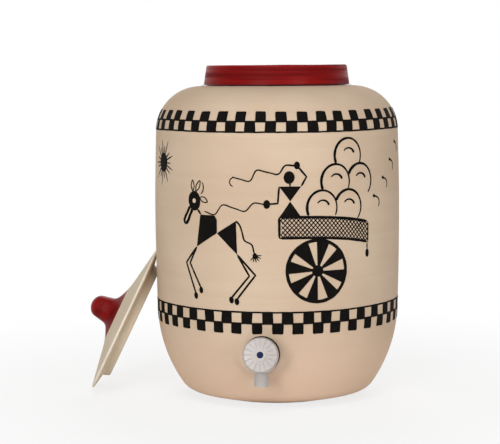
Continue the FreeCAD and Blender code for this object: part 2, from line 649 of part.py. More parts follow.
def make_knob_cap():
    body = doc.addObject("PartDesign::Body", "knob_cap")
    revolve(body, "cap_turning", (
        (None, "cap_back", None),
        ("cap_radius", "cap_back", None),
        ("cap_radius", "cap_shoulder", "cap_dome"),
        ("cap_face_radius", "boss_front", None),
        (None, "boss_front", None),
    ))
    return finish_piece(body, "knob_cap", KNOB_FRAME)


# The lid: one turned clay piece with its knob, taken off and leaning on the pot
def make_lid():
    body = doc.addObject("PartDesign::Body", "lid")
    revolve(body, "lid_turning", (
        (None, "-ring_depth", None),
        ("ring_end_radius", "-ring_depth", None),
        ("ring_radius", "-lid_brim_drop", None),
        ("lid_radius", None, None),
        ("lid_radius", "lid_edge", None),
        ("lid_knob_foot", "lid_rise", "-lid_knob_sweep"),
        ("lid_skirt_radius", "lid_skirt_height", "-lid_skirt_round"),
        ("lid_knob_waist", "lid_waist_height", None),
        ("lid_head_radius", "lid_head_height", "lid_head_round"),
        ("lid_crown_radius", "lid_crown_height", "lid_crown_arc"),
        (None, "lid_knob_height", None),
    ))
    revolve(body, "lid_hollow", (
        (None, "-ring_depth", None),
        ("lid_ring_inner", "-ring_depth", None),
        ("lid_hollow_floor", None, None),
        (None, None, None),
    ), cut=True)
    return finish_piece(body, "lid", LID_FRAME)


make_pot_body()
make_tap_body()
make_tap_seals()
make_back_nut()
make_bonnet()
make_plunger()
make_spindle()
make_knob()
make_knob_screw()
make_knob_cap()
make_lid()
doc.recompute()


# Check every object, then write each piece
for thing in doc.Objects:
    if "Invalid" in thing.State or "Error" in thing.State:
        raise RuntimeError(f"{thing.Label} failed: {thing.State}")
for piece in parts:
    if piece.Shape.isNull() or not piece.Shape.isValid():
        raise RuntimeError(f"{piece.Label} has no valid shape")
os.makedirs("parts", exist_ok=True)
for piece in parts:
    piece.Shape.exportStep(f"parts/{piece.Label}.step")
    print(piece.Label, len(piece.Shape.Solids), round(piece.Shape.Volume, 1))
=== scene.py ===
import math
import random

import bmesh
import bpy
from mathutils import Matrix, Vector, noise


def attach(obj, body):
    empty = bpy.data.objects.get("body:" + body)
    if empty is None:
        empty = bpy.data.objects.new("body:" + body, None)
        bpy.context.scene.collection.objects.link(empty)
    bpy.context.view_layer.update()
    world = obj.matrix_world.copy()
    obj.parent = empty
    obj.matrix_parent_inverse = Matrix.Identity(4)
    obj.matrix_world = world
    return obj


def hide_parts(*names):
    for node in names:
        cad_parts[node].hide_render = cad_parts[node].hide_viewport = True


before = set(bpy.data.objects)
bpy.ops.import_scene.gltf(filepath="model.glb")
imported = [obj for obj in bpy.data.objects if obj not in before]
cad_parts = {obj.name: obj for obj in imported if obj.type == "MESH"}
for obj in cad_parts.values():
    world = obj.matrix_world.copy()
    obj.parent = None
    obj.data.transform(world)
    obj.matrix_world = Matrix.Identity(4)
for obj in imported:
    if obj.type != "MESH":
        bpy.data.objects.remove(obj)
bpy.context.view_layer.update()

# Clay water pot with a tap, seen as in the photograph. Sizes are in millimetres, MM makes them metres.
# The pot stands on the Z axis. Its front, with the tap, is towards -Y.
MM = 0.001
FULL_TURN = 2 * math.pi
FULL_TURN_DEGREES = 360

# The pot's wall
POT_HEIGHT = 355
RIM_RADIUS, RIM_SIDE, RIM_ROUND = 75.7, 352.5, 2.5
MOUTH_RADIUS, MOUTH_FOOT = 69.5, 330
NECK_FOOT, NECK_FOOT_RADIUS = 334.0, 78.3
SHOULDER_TOP, SHOULDER_RADIUS = 332.5, 82
BELLY = 130.0
BARREL_FOOT, BARREL_TOP = 100.0, 284.5
BODY_CORNERS = (
    (0, 0, None), (64, 0, None), (92.7, 6.95, 20), (104, 15, 151), (BELLY, BARREL_FOOT, 2900),
    (BELLY, BARREL_TOP, 48), (SHOULDER_RADIUS, SHOULDER_TOP, None),
)
INSIDE_CORNERS = (
    (MOUTH_RADIUS, MOUTH_FOOT, None), (82, 323.5, -39), (121, BARREL_TOP, -2891), (121, BARREL_FOOT, -142),
    (97, 20.5, None), (88, 15, None), (64, 11, None), (0, 11, None),
)

# The tap's frame: across, up and outwards, from the middle of the outer flat
TAP_YAW = math.radians(4.2)
TAP_OFFSET, SEAT_DISTANCE, TAP_HEIGHT = -8.8, 126.5, 62.8
KNOB_TILT = math.radians(12.5)
KNOB_PIVOT = 12.5
TAP_FRAME = (
    Matrix.Rotation(-TAP_YAW, 4, "Z")
    @ Matrix.Translation(Vector((TAP_OFFSET, -SEAT_DISTANCE, TAP_HEIGHT)) * MM)
    @ Matrix.Rotation(math.pi / 2, 4, "X")
)
KNOB_FRAME = TAP_FRAME @ Matrix.Translation((0, 0, KNOB_PIVOT * MM)) @ Matrix.Rotation(-KNOB_TILT, 4, "X")
LID_LEAN = math.radians(64.3)
LID_PLACE = Vector((-166.864, 34, 76.592))
LID_FRAME = (
    Matrix.Translation(LID_PLACE * MM)
    @ Matrix.Rotation(-LID_LEAN, 4, "Y")
)


# ---------------------------------------------------------------- materials
def srgb(red, green, blue):
    """A colour as it looks on a screen, 0 to 255, for a shader."""
    def linear(value):
        value /= 255
        return value / 12.92 if value <= 0.04045 else ((value + 0.055) / 1.055) ** 2.4
    return linear(red), linear(green), linear(blue), 1.0


class Surface:
    """A material with one Principled shader and the nodes that feed it."""

    def __init__(self, name, roughness, **settings):
        self.material = bpy.data.materials.new(name)
        self.material.use_nodes = True
        self.tree = self.material.node_tree
        self.tree.nodes.clear()
        output = self.tree.nodes.new("ShaderNodeOutputMaterial")
        self.shader = self.tree.nodes.new("ShaderNodeBsdfPrincipled")
        self.tree.links.new(self.shader.outputs["BSDF"], output.inputs["Surface"])
        self.shader.inputs["Roughness"].default_value = roughness
        for key, value in settings.items():
            self.shader.inputs[key.replace("_", " ")].default_value = value
        self.place = self.node("ShaderNodeTexCoord").outputs["Object"]

    def node(self, kind, inputs=(), **properties):
        made = self.tree.nodes.new(kind)
        for key, value in properties.items():
            setattr(made, key, value)
        for key, value in dict(inputs).items():
            if hasattr(value, "is_output"):
                self.tree.links.new(value, made.inputs[key])
            else:
                made.inputs[key].default_value = value
        return made

    def noise(self, scale, detail=3.0, roughness=0.5, stretch=None, distortion=0.0):
        place = self.place
        if stretch:
            place = self.node("ShaderNodeMapping", {"Vector": place, "Scale": stretch}).outputs["Vector"]
        made = self.node("ShaderNodeTexNoise", {
            "Vector": place, "Scale": scale, "Detail": detail, "Roughness": roughness,
            "Distortion": distortion,
        })
        return made.outputs["Fac"]

    def spread(self, value, low, high, to_low=0.0, to_high=1.0):
        """Map low..high to to_low..to_high, smoothly and clamped."""
        return self.node("ShaderNodeMapRange", {
            "Value": value, "From Min": low, "From Max": high, "To Min": to_low, "To Max": to_high,
        }, interpolation_type="SMOOTHSTEP").outputs["Result"]

    def math(self, operation, first, second=0.0, third=0.0):
        made = self.node("ShaderNodeMath", {0: first, 1: second, 2: third}, operation=operation)
        return made.outputs["Value"]

    def mix(self, factor, first, second, blend="MIX"):
        made = self.node("ShaderNodeMix", data_type="RGBA", blend_type=blend)
        for index, value in ((0, factor), (6, first), (7, second)):
            if hasattr(value, "is_output"):
                self.tree.links.new(value, made.inputs[index])
            else:
                made.inputs[index].default_value = value
        return made.outputs[2]

    def axes(self):
        split = self.node("ShaderNodeSeparateXYZ", {"Vector": self.place})
        return split.outputs["X"], split.outputs["Y"], split.outputs["Z"]

    def radius(self, x, y):
        """Distance from the turning axis."""
        return self.math("SQRT", self.math("ADD", self.math("MULTIPLY", x, x), self.math("MULTIPLY", y, y)))

    def feed(self, socket, value):
        self.tree.links.new(value, self.shader.inputs[socket])

    def bump(self, height, distance, strength=1.0, under=None):
        inputs = {"Height": height, "Distance": distance, "Strength": strength}
        if under is not None:
            inputs["Normal"] = under
        return self.node("ShaderNodeBump", inputs).outputs["Normal"]


def clay_colour(skin, pale, warm, shade):
    """Fired clay: cloudy patches, fine grain, faint turning streaks and a few darker specks."""
    clouds = skin.spread(skin.noise(9, 2.0), 0.35, 0.68)
    tone = skin.mix(clouds, pale, warm)
    streaks = skin.spread(skin.noise(26, 3.0, stretch=(0.12, 0.12, 5.0)), 0.42, 0.70, 0.0, 0.12)
    tone = skin.mix(streaks, tone, shade)
    grain = skin.spread(skin.noise(1300, 2.0), 0.35, 0.75, 0.0, 0.18)
    tone = skin.mix(grain, tone, shade)
    specks = skin.node("ShaderNodeTexVoronoi", {"Vector": skin.place, "Scale": 190.0})
    dots = skin.spread(specks.outputs["Distance"], 0.05, 0.13, 0.35, 0.0)
    return skin.mix(dots, tone, shade)


def clay_bump(skin):
    rings = skin.bump(skin.noise(34, 2.0, stretch=(0.05, 0.05, 9.0)), 0.0004, 0.35)
    return skin.bump(skin.noise(900, 3.0, roughness=0.65), 0.00022, 0.5, rings)


RED_DEEP, RED_BRIGHT = srgb(104, 5, 6), srgb(137, 11, 11)


def red_paint(skin, stretch, dull, gloss):
    """The colour and the roughness of brushed on red enamel, streaked along the brush."""
    brush = skin.spread(skin.noise(30, 4.0, stretch=stretch), 0.36, 0.66)
    return skin.mix(brush, RED_DEEP, RED_BRIGHT), skin.math("MULTIPLY_ADD", brush, gloss - dull, dull)


def make_pot_clay():
    skin = Surface("pot_clay_painted_neck", 0.88, Specular_IOR_Level=0.09)
    tone = clay_colour(skin, srgb(215, 193, 169), srgb(208, 184, 159), srgb(190, 162, 136))
    x, y, z = skin.axes()
    radius = skin.radius(x, y)
    # the lower part of the wall is a little pinker clay, and painted paler as bounce light from the floor
    low = skin.spread(z, 0.030, 0.105, 0.8, 0.0)
    tone = skin.mix(low, tone, srgb(230, 200, 175))
    # brushed red neck, with an uneven edge at its foot and inside the mouth
    edge = skin.math("MULTIPLY_ADD", skin.noise(70, 3.0), 0.0014, -0.0007)
    foot = skin.spread(skin.math("ADD", radius, edge), 0.0808, 0.0812, 1.0, 0.0)
    outside = skin.math("MULTIPLY", foot, skin.math("MULTIPLY", skin.spread(z, 0.3310, 0.3312),
                                                    skin.spread(radius, 0.0708, 0.0712)))
    over_rim = skin.spread(skin.math("ADD", z, edge), 0.3494, 0.3498)
    painted = skin.math("MAXIMUM", outside, over_rim)
    enamel, enamel_roughness = red_paint(skin, (0.25, 0.25, 9.0), 0.62, 0.30)
    crease = skin.math("MULTIPLY", skin.spread(z, 0.3340, 0.3348, 1.0, 0.0), outside)
    enamel = skin.mix(crease, enamel, srgb(38, 14, 14))
    skin.feed("Base Color", skin.mix(painted, tone, enamel))
    skin.feed("Roughness", skin.spread(painted, 0.0, 1.0, 0.88, enamel_roughness))
    skin.feed("Normal", clay_bump(skin))
    return skin.material


def make_lid_clay():
    skin = Surface("lid_clay_painted_knob", 0.85, Specular_IOR_Level=0.10)
    skin.place = skin.node("ShaderNodeMapping", {
        "Vector": skin.place, "Location": LID_FRAME.translation, "Rotation": (0, -LID_LEAN, 0),
    }, vector_type="TEXTURE").outputs["Vector"]
    tone = clay_colour(skin, srgb(230, 216, 194), srgb(222, 206, 182), srgb(200, 180, 153))
    x, y, z = skin.axes()
    radius = skin.radius(x, y)
    # painted highlight: the brim's edge is made paler where light catches it, in uneven patches
    patches = skin.spread(skin.noise(45, 3.0), 0.2, 0.6, 0.55, 0.95)
    painted_rim_highlight = skin.math("MULTIPLY", skin.spread(radius, 0.0805, 0.0840), patches)
    tone = skin.mix(painted_rim_highlight, tone, srgb(247, 237, 219))
    edge = skin.math("ADD", radius, skin.math("MULTIPLY_ADD", skin.noise(60, 3.0), 0.0012, -0.0006))
    above_brim = skin.spread(z, 0.0055, 0.0060)
    painted = skin.math("MULTIPLY", skin.spread(edge, 0.0310, 0.0313, 1.0, 0.0), above_brim)
    enamel, enamel_roughness = red_paint(skin, (1.0, 1.0, 3.0), 0.56, 0.36)
    skin.feed("Base Color", skin.mix(painted, tone, enamel))
    skin.feed("Roughness", skin.spread(painted, 0.0, 1.0, 0.85, enamel_roughness))
    skin.feed("Normal", clay_bump(skin))
    return skin.material


def make_plastic(name, pale, dark, roughness, scale=60, specular=0.35):
    """Moulded plastic: slightly uneven colour and gloss, and a faint grain."""
    skin = Surface(name, roughness, Specular_IOR_Level=specular)
    skin.feed("Base Color", skin.mix(skin.spread(skin.noise(scale, 3.0), 0.35, 0.7), pale, dark))
    skin.feed("Roughness", skin.spread(skin.noise(220, 2.0), 0.3, 0.7, roughness - 0.06, roughness + 0.08))
    skin.feed("Normal", skin.bump(skin.noise(480, 2.0), 0.00005, 0.5))
    return skin.material


def make_rubber():
    skin = Surface("black_rubber_skin", 0.7, Specular_IOR_Level=0.2)
    dusty = skin.spread(skin.noise(120, 4.0), 0.3, 0.7)
    skin.feed("Base Color", skin.mix(dusty, srgb(15, 13, 13), srgb(27, 24, 23)))
    skin.feed("Normal", skin.bump(skin.noise(1500, 3.0), 0.00008, 0.6))
    return skin.material


def make_fibre():
    skin = Surface("red_fibre", 0.75)
    skin.feed("Base Color", skin.mix(skin.noise(900, 4.0), srgb(122, 44, 34), srgb(150, 66, 50)))
    skin.feed("Normal", skin.bump(skin.noise(1800, 3.0), 0.00008, 0.7))
    return skin.material


def make_steel():
    skin = Surface("zinc_plated_steel", 0.32, Metallic=1.0)
    skin.feed("Base Color", skin.mix(skin.noise(400, 3.0), srgb(176, 178, 180), srgb(204, 204, 200)))
    skin.feed("Normal", skin.bump(skin.noise(300, 2.0, stretch=(1.0, 1.0, 12.0)), 0.00004, 0.5))
    return skin.material


def make_black_paint():
    """Brush-painted black on clay: thin places look brown, and the clay's grain shows through."""
    skin = Surface("black_brush_paint", 0.8, Specular_IOR_Level=0.08)
    thin = skin.spread(skin.noise(150, 4.0, roughness=0.6), 0.45, 0.85)
    skin.feed("Base Color", skin.mix(thin, srgb(11, 9, 7), srgb(24, 19, 13)))
    skin.feed("Normal", skin.bump(skin.noise(900, 3.0), 0.00015, 0.5))
    return skin.material


def make_light_paint():
    skin = Surface("pale_brush_paint", 0.8)
    tone = skin.mix(skin.noise(150, 4.0), srgb(222, 201, 172), srgb(210, 187, 157))
    skin.feed("Base Color", tone)
    skin.feed("Normal", skin.bump(skin.noise(900, 3.0), 0.00015, 0.5))
    return skin.material


# ---------------------------------------------------------------- outlines and turned forms
def arc_points(start, end, radius, step):
    """Points after start up to end, on the short arc between them or on a straight line."""
    start, end = Vector(start), Vector(end)
    chord = end - start
    count = max(1, round(chord.length / step))
    if radius is None:
        return [start + chord * (n / count) for n in range(1, count + 1)]
    half = chord.length / 2
    left = Vector((-chord.y, chord.x)).normalized()
    aside = math.sqrt(max(radius * radius - half * half, 0))
    centre = start + chord / 2 + left * math.copysign(aside, radius)
    first, last = start - centre, end - centre
    turn = math.atan2(first.x * last.y - first.y * last.x, first.dot(last))
    count = max(count, math.ceil(abs(turn) / math.radians(4)))
    points = []
    for n in range(1, count + 1):
        points.append(centre + Matrix.Rotation(turn * n / count, 2) @ first)
    return points


def outline(corners, step):
    points = [Vector(corners[0][:2])]
    for here, there in zip(corners, corners[1:]):
        points += arc_points(here[:2], there[:2], here[2], step)
    return points


def soften(points, rounds):
    """Round the corners of an outline that ends where it started: on the axis, or at a join."""
    for _ in range(rounds):
        inner = [(a + b * 2 + c) / 4 for a, b, c in zip(points, points[1:], points[2:])]
        points = [points[0]] + inner + [points[-1]]
    return points


def new_object(name, verts, faces, material, smooth_angle=40):
    mesh = bpy.data.meshes.new(name)
    mesh.from_pydata(verts, [], faces)
    mesh.validate()
    mesh.update()
    mesh.shade_smooth()
    mesh.set_sharp_from_angle(angle=math.radians(smooth_angle))
    mesh.materials.append(material)
    made = bpy.data.objects.new(name, mesh)
    bpy.context.scene.collection.objects.link(made)
    return made


def turned(name, points, segments, material, shape=None, smooth_angle=40):
    """Turn an outline, from axis to axis, into a closed mesh. shape(point) may move each point."""
    verts, faces, rings = [], [], []
    for point in points:
        if point.x < 1e-6:
            rings.append([len(verts)])
            verts.append(Vector((0, 0, point.y)) * MM)
            continue
        ring = []
        for n in range(segments):
            angle = FULL_TURN * n / segments
            place = Vector((point.x * math.cos(angle), point.x * math.sin(angle), point.y))
            if shape:
                place = shape(place)
            ring.append(len(verts))
            verts.append(place * MM)
        rings.append(ring)
    for low, high in zip(rings, rings[1:]):
        for n in range(segments):
            following = (n + 1) % segments
            if len(low) == 1:
                faces.append((low[0], high[following], high[n]))
            elif len(high) == 1:
                faces.append((low[n], low[following], high[0]))
            else:
                faces.append((low[n], low[following], high[following], high[n]))
    return new_object(name, verts, faces, material, smooth_angle)


def ring_faces(count, segments):
    """Faces of a closed outline of count points that is turned all round."""
    faces = []
    for ring in range(count):
        for n in range(segments):
            a, b = ring * segments + n, ring * segments + (n + 1) % segments
            up = ((ring + 1) % count) * segments
            faces.append((a, b, up + (n + 1) % segments, up + n))
    return faces


# ---------------------------------------------------------------- the pot
def smooth_step(value):
    value = min(max(value, 0.0), 1.0)
    return value * value * (3 - 2 * value)


def hand(x, y, z, size):
    """Slow unevenness of hand work, from -1 to 1, the same at every run."""
    return noise.noise(Vector((x, y, z)) / size)


SEAT_AXIS = Vector((-math.sin(TAP_YAW), -math.cos(TAP_YAW), 0))
SEAT_SIDE = Vector((math.cos(TAP_YAW), -math.sin(TAP_YAW), 0))
SEAT_FLAT, SEAT_BLEND = 19.8, 10.5
INNER_SEAT_FLAT, INNER_SEAT_BLEND, SEAT_WALL = 17.5, 8, 10
SHANK_HOLE = 8.4
FRONT_ONLY = 60
WALL_INSET, WALL_UNEVENNESS, UNEVENNESS_SPAN = 0.34, 0.28, 85


def level_seat(place, flat, blend, distance):
    """Level the clay round the tap's shank and blend it into the wall."""
    out = place.dot(SEAT_AXIS)
    if out < FRONT_ONLY:
        return place
    across = place.dot(SEAT_SIDE) - TAP_OFFSET
    away = math.hypot(across, place.z - TAP_HEIGHT)
    share = smooth_step((flat + blend - away) / blend)
    return place + SEAT_AXIS * ((distance - out) * share)


def pot_outside(place):
    """The wall as it was thrown: slightly inside the CAD outline, and uneven."""
    away = Vector((place.x, place.y, 0)).normalized()
    inwards = WALL_INSET - WALL_UNEVENNESS * hand(place.x, place.y, place.z, UNEVENNESS_SPAN)
    place = place - away * inwards
    if place.z < 1:
        return place
    if place.z > SHOULDER_TOP:
        lift = smooth_step((place.z - NECK_FOOT) / (POT_HEIGHT - NECK_FOOT))
        place.z -= lift * (0.35 + 0.3 * hand(place.x, place.y, 0, 50))
    return level_seat(place, SEAT_FLAT, SEAT_BLEND, SEAT_DISTANCE)


def wall_radius(z):
    """Radius of the outer wall at a height, before the hand-made unevenness."""
    for here, there in zip(BODY_CORNERS[2:], BODY_CORNERS[3:]):
        if here[1] <= z <= there[1]:
            (r0, z0, arc), (r1, z1) = here, there[:2]
            half = math.hypot(r1 - r0, z1 - z0) / 2
            left = Vector((-(z1 - z0), r1 - r0)).normalized() * math.sqrt(arc * arc - half * half)
            centre = Vector(((r0 + r1) / 2, (z0 + z1) / 2)) + left
            return centre.x + math.sqrt(arc * arc - (z - centre.y) ** 2)
    raise ValueError(z)


def on_wall(s, z, lift=0.0):
    """A place on the pot: s is the way round from the front, measured at the belly, z the height."""
    angle = s / BELLY - math.pi / 2
    radius = wall_radius(z)
    place = Vector((radius * math.cos(angle), radius * math.sin(angle), z))
    place = pot_outside(place)
    slope = wall_radius(z + 0.5) - wall_radius(z - 0.5)
    away = Vector((math.cos(angle), math.sin(angle), -slope)).normalized()
    return place + away * lift


def bore_for_tap(made, material):
    """Cut the round hole for the tap's shank through the wall."""
    through = [Vector(p) for p in ((0, -30), (SHANK_HOLE, -30), (SHANK_HOLE, 10), (0, 10))]
    tool = turned("hole_tool", through, 96, material)
    tool.data.transform(TAP_FRAME)
    cut = made.modifiers.new("tap_hole", "BOOLEAN")
    cut.operation = "DIFFERENCE"
    cut.solver = "EXACT"
    cut.object = tool
    mesh = bpy.data.meshes.new_from_object(made.evaluated_get(bpy.context.evaluated_depsgraph_get()))
    made.modifiers.clear()
    made.data = mesh
    mesh.name = made.name
    bpy.data.objects.remove(tool)
    mesh.shade_smooth()
    mesh.set_sharp_from_angle(angle=math.radians(40))


def make_pot(material):
    body = soften(outline(BODY_CORNERS, 3.0), 1)
    neck = outline((
        (SHOULDER_RADIUS, SHOULDER_TOP, None), (NECK_FOOT_RADIUS, NECK_FOOT, None),
        (RIM_RADIUS, RIM_SIDE, RIM_ROUND), (RIM_RADIUS - RIM_ROUND, POT_HEIGHT, None),
        (MOUTH_RADIUS + RIM_ROUND, POT_HEIGHT, RIM_ROUND), (MOUTH_RADIUS, RIM_SIDE, None),
        (MOUTH_RADIUS, MOUTH_FOOT, None),
    ), 1.2)
    inside = soften(outline(INSIDE_CORNERS, 5.0), 2)
    made = turned("clay_pot", body[:-1] + neck[:-1] + inside, 256, material, pot_outside_or_inside)
    bore_for_tap(made, material)
    return made


def pot_outside_or_inside(place):
    radius = math.hypot(place.x, place.y)
    if place.z >= 345 or place.z < 5:
        return pot_outside(place)
    in_mouth = radius < MOUTH_RADIUS + RIM_ROUND
    if in_mouth or (place.z < MOUTH_FOOT and radius < wall_radius(max(place.z, 7.0)) - 4.5):
        return level_seat(place, INNER_SEAT_FLAT, INNER_SEAT_BLEND, SEAT_DISTANCE - SEAT_WALL)
    return pot_outside(place)


def make_lid(material):
    top = soften(outline((
        (67, -3.3, None), (85, 0, None), (85, 2, None), (42, 9.2, -75), (18.5, 16.8, -7.5),
        (14.6, 21.5, None), (12.1, 33.5, 9.6), (8.2, 39.1, 13.8), (0, 41.8, None),
    ), 1.6), 2)
    under = soften(outline((
        (0, 0, None), (54, 0, None), (58, -10.7, None), (64.5, -10.7, None), (67, -3.3, None),
    ), 1.6), 1)

    def uneven(place):
        radius = math.hypot(place.x, place.y)
        away = Vector((place.x, place.y, 0)) / max(radius, 1)
        return place - away * (0.25 - 0.2 * hand(place.x, place.y, place.z, 40)) * min(radius / 30, 1)

    made = turned("clay_lid", under[:-1] + top, 192, material, uneven, 50)
    made.data.transform(LID_FRAME)
    return made


# ---------------------------------------------------------------- the tap's knob and washer
KNOB_TURNING = (
    (3, 12.2, None), (6.5, 12.2, None), (6.5, 13.9, None), (15.1, 13.9, None), (16.1, 8.6, None),
    (18.3, 8.6, None), (17.3, 14.5, 1.6), (15.7, 16.1, None), (6.2, 17.3, None), (6.2, 18.2, None),
    (3.4, 18.2, None), (3.4, 16.6, None), (2.7, 16.6, None), (2.7, 14.8, None), (1.3, 14.8, None),
    (1.3, 13.8, None), (3, 13.8, None), (3, 12.2, None),
)
FLUTES = 16


def make_knob(material):
    """The knob: a dished round cap with soft radial flutes that run over its edge."""
    points = outline(KNOB_TURNING[:7], 0.5)[:-1] + outline(KNOB_TURNING[6:9], 0.45)[:-1]
    points += outline(KNOB_TURNING[8:], 0.5)[:-1]
    segments = 288
    verts = []
    for point in points:
        for n in range(segments):
            angle = FULL_TURN * n / segments
            radius, height = point.x, point.y
            if radius > 7 and height > 13.95:
                wave = abs(math.sin(angle * FLUTES / 2))
                groove = smooth_step(1 - wave / 0.30) * smooth_step((radius - 7.2) / 2.2)
                height -= 0.55 * groove * smooth_step((height - 13.9) / 1.2)
                radius -= 0.35 * groove * smooth_step((radius - 15.5) / 1.5)
            verts.append(Vector((radius * math.cos(angle), radius * math.sin(angle), height)) * MM)
    made = new_object("tap_knob_fluted", verts, ring_faces(len(points), segments), material, 35)
    made.data.transform(KNOB_FRAME)
    return made


def make_washer(material):
    """The thick rubber washer that the tap is pressed on, a little bulged where it is squeezed."""
    points = [Vector(p) for p in ((8.5, 0.1), (18.0, 0.1), (18.35, 0.5), (18.5, 1.5), (18.35, 2.6),
                                  (17.9, 2.95), (15.0, 2.98), (8.5, 2.98))]
    segments = 144
    verts = []
    for point in points:
        for n in range(segments):
            angle = FULL_TURN * n / segments
            verts.append(Vector((point.x * math.cos(angle), point.x * math.sin(angle), point.y)) * MM)
    made = new_object("tap_outer_washer", verts, ring_faces(len(points), segments), material, 50)
    made.data.transform(TAP_FRAME)
    return made


# ---------------------------------------------------------------- the painting on the wall
# A place on the wall is (s, z): s is the way round from the front, measured at the belly, z the height.
PAINT_LIFT, PAINT_SINK = 0.20, 0.30
ROUND = FULL_TURN * BELLY


def spline(points, step=1.4):
    """A smooth line through given places."""
    points = [Vector(p) for p in points]
    padded = [points[0] * 2 - points[1]] + points + [points[-1] * 2 - points[-2]]
    smooth = []
    for a, b, c, d in zip(padded, padded[1:], padded[2:], padded[3:]):
        count = max(2, round((c - b).length / step))
        for n in range(count):
            t = n / count
            smooth.append(0.5 * (2 * b + (c - a) * t + (2 * a - 5 * b + 4 * c - d) * t ** 2
                                 + (3 * b - a - 3 * c + d) * t ** 3))
    return smooth + [points[-1]]


def straight(points, step=2.5):
    """The same for a line with corners."""
    line = [Vector(points[0])]
    for a, b in zip(points, points[1:]):
        line += arc_points(a, b, None, step)
    return line


def stroke(line, width, end_width=None, blunt=True):
    """A brush stroke along a line: its corners and faces on the flat."""
    end_width = width if end_width is None else end_width
    run = [0.0]
    for a, b in zip(line, line[1:]):
        run.append(run[-1] + (b - a).length)
    corners = []
    for n, place in enumerate(line):
        ahead = line[min(n + 1, len(line) - 1)] - line[max(n - 1, 0)]
        side = Vector((-ahead.y, ahead.x)).normalized()
        share = run[n] / run[-1]
        half = (width + (end_width - width) * share) / 2
        half *= 1 + 0.16 * hand(place.x * 3, place.y * 3, 7, 14)
        if blunt:
            near = min(run[n], run[-1] - run[n])
            if near < half:
                half *= math.sqrt(max(1 - (1 - near / half) ** 2, 0.09))
        corners += [place + side * half, place - side * half]
    faces = [(2 * n, 2 * n + 1, 2 * n + 3, 2 * n + 2) for n in range(len(line) - 1)]
    return corners, faces


def filled(points, cell=5.0):
    """A filled outline, cut into cells small enough to follow the wall."""
    flat = bmesh.new()
    flat.faces.new([flat.verts.new((p[0], p[1], 0)) for p in points])
    bmesh.ops.triangulate(flat, faces=flat.faces[:])
    for axis, normal in ((0, (1, 0, 0)), (1, (0, 1, 0))):
        values = [p[axis] for p in points]
        level = math.ceil(min(values) / cell) * cell
        while level < max(values):
            place = (level, 0, 0) if axis == 0 else (0, level, 0)
            everything = flat.verts[:] + flat.edges[:] + flat.faces[:]
            bmesh.ops.bisect_plane(flat, geom=everything, dist=1e-5, plane_co=place, plane_no=normal)
            level += cell
    flat.verts.index_update()
    corners = [Vector(v.co[:2]) for v in flat.verts]
    faces = [tuple(v.index for v in f.verts) for f in flat.faces]
    flat.free()
    return corners, faces


def oval(middle, across, up, lean=0.0, count=36):
    points = []
    for n in range(count):
        angle = FULL_TURN * n / count
        place = Vector((across * math.cos(angle), up * math.sin(angle)))
        place *= 1 + 0.05 * hand(middle[0] + place.x, middle[1] + place.y, 3, 6)
        points.append(Vector(middle) + Matrix.Rotation(math.radians(lean), 2) @ place)
    return points


def soft_polygon(points, corner=1.0, wobble=0.16):
    """A filled shape with a painter's slightly rounded corners and unsteady edges."""
    points = [Vector(p) for p in points]
    result = []
    for before, here, after in zip(points[-1:] + points, points, points[1:] + points[:1]):
        first = here + (before - here).normalized() * min(corner, (before - here).length / 2)
        last = here + (after - here).normalized() * min(corner, (after - here).length / 2)
        result += [first, (first + last) / 4 + here / 2, last]
        gap = after - last
        count = int((gap.length - corner) / 3)
        result += [last + gap.normalized() * 3 * n for n in range(1, count + 1)]
    return [p + Vector((hand(p.x, p.y, 1, 5), hand(p.x, p.y, 9, 5))) * wobble for p in result]


def square(left, right, low, high, draw):
    """One hand-painted square of a chequered band."""
    shift = [draw.uniform(-0.45, 0.45) for _ in range(8)]
    return filled(soft_polygon((
        (left + shift[0], low + shift[1] * 0.6), (right + shift[2], low + shift[3] * 0.6),
        (right + shift[4], high + shift[5] * 0.8), (left + shift[6], high + shift[7] * 0.8),
    ), 1.3, 0.25))


def drape(name, shapes, material, lift=PAINT_LIFT):
    """Lay flat shapes on the wall as thin closed skins of paint, neighbours at slightly other heights."""
    verts, faces = [], []
    for number, (corners, flat_faces) in enumerate(shapes):
        first, count = len(verts), len(corners)
        above = lift + 0.012 * (number % 7)
        verts += [on_wall(c.x, c.y, above) * MM for c in corners]
        verts += [on_wall(c.x, c.y, -PAINT_SINK) * MM for c in corners]
        edges = {}
        for face in flat_faces:
            faces.append(tuple(first + n for n in face))
            faces.append(tuple(first + count + n for n in reversed(face)))
            for a, b in zip(face, face[1:] + face[:1]):
                if (b, a) in edges:
                    del edges[(b, a)]
                else:
                    edges[(a, b)] = True
        faces += [(first + b, first + a, first + count + a, first + count + b) for a, b in edges]
    made = new_object(name, verts, faces, material, 30)
    shell = bmesh.new()
    shell.from_mesh(made.data)
    bmesh.ops.recalc_face_normals(shell, faces=shell.faces[:])
    shell.to_mesh(made.data)
    shell.free()
    return made


BAND_SQUARES = 39
# Heights of the top, middle and foot of each band, and where its first square starts
UPPER_BAND, UPPER_FIRST = (308.5, 298.5, 288.0), -24.5
LOWER_BAND, LOWER_FIRST = (106.0, 94.5, 83.5), -19.0


def band_sway(s, size):
    """How far a line round the pot strays from level."""
    return size * hand(math.cos(s / BELLY) * 40, math.sin(s / BELLY) * 40, 5, 30)


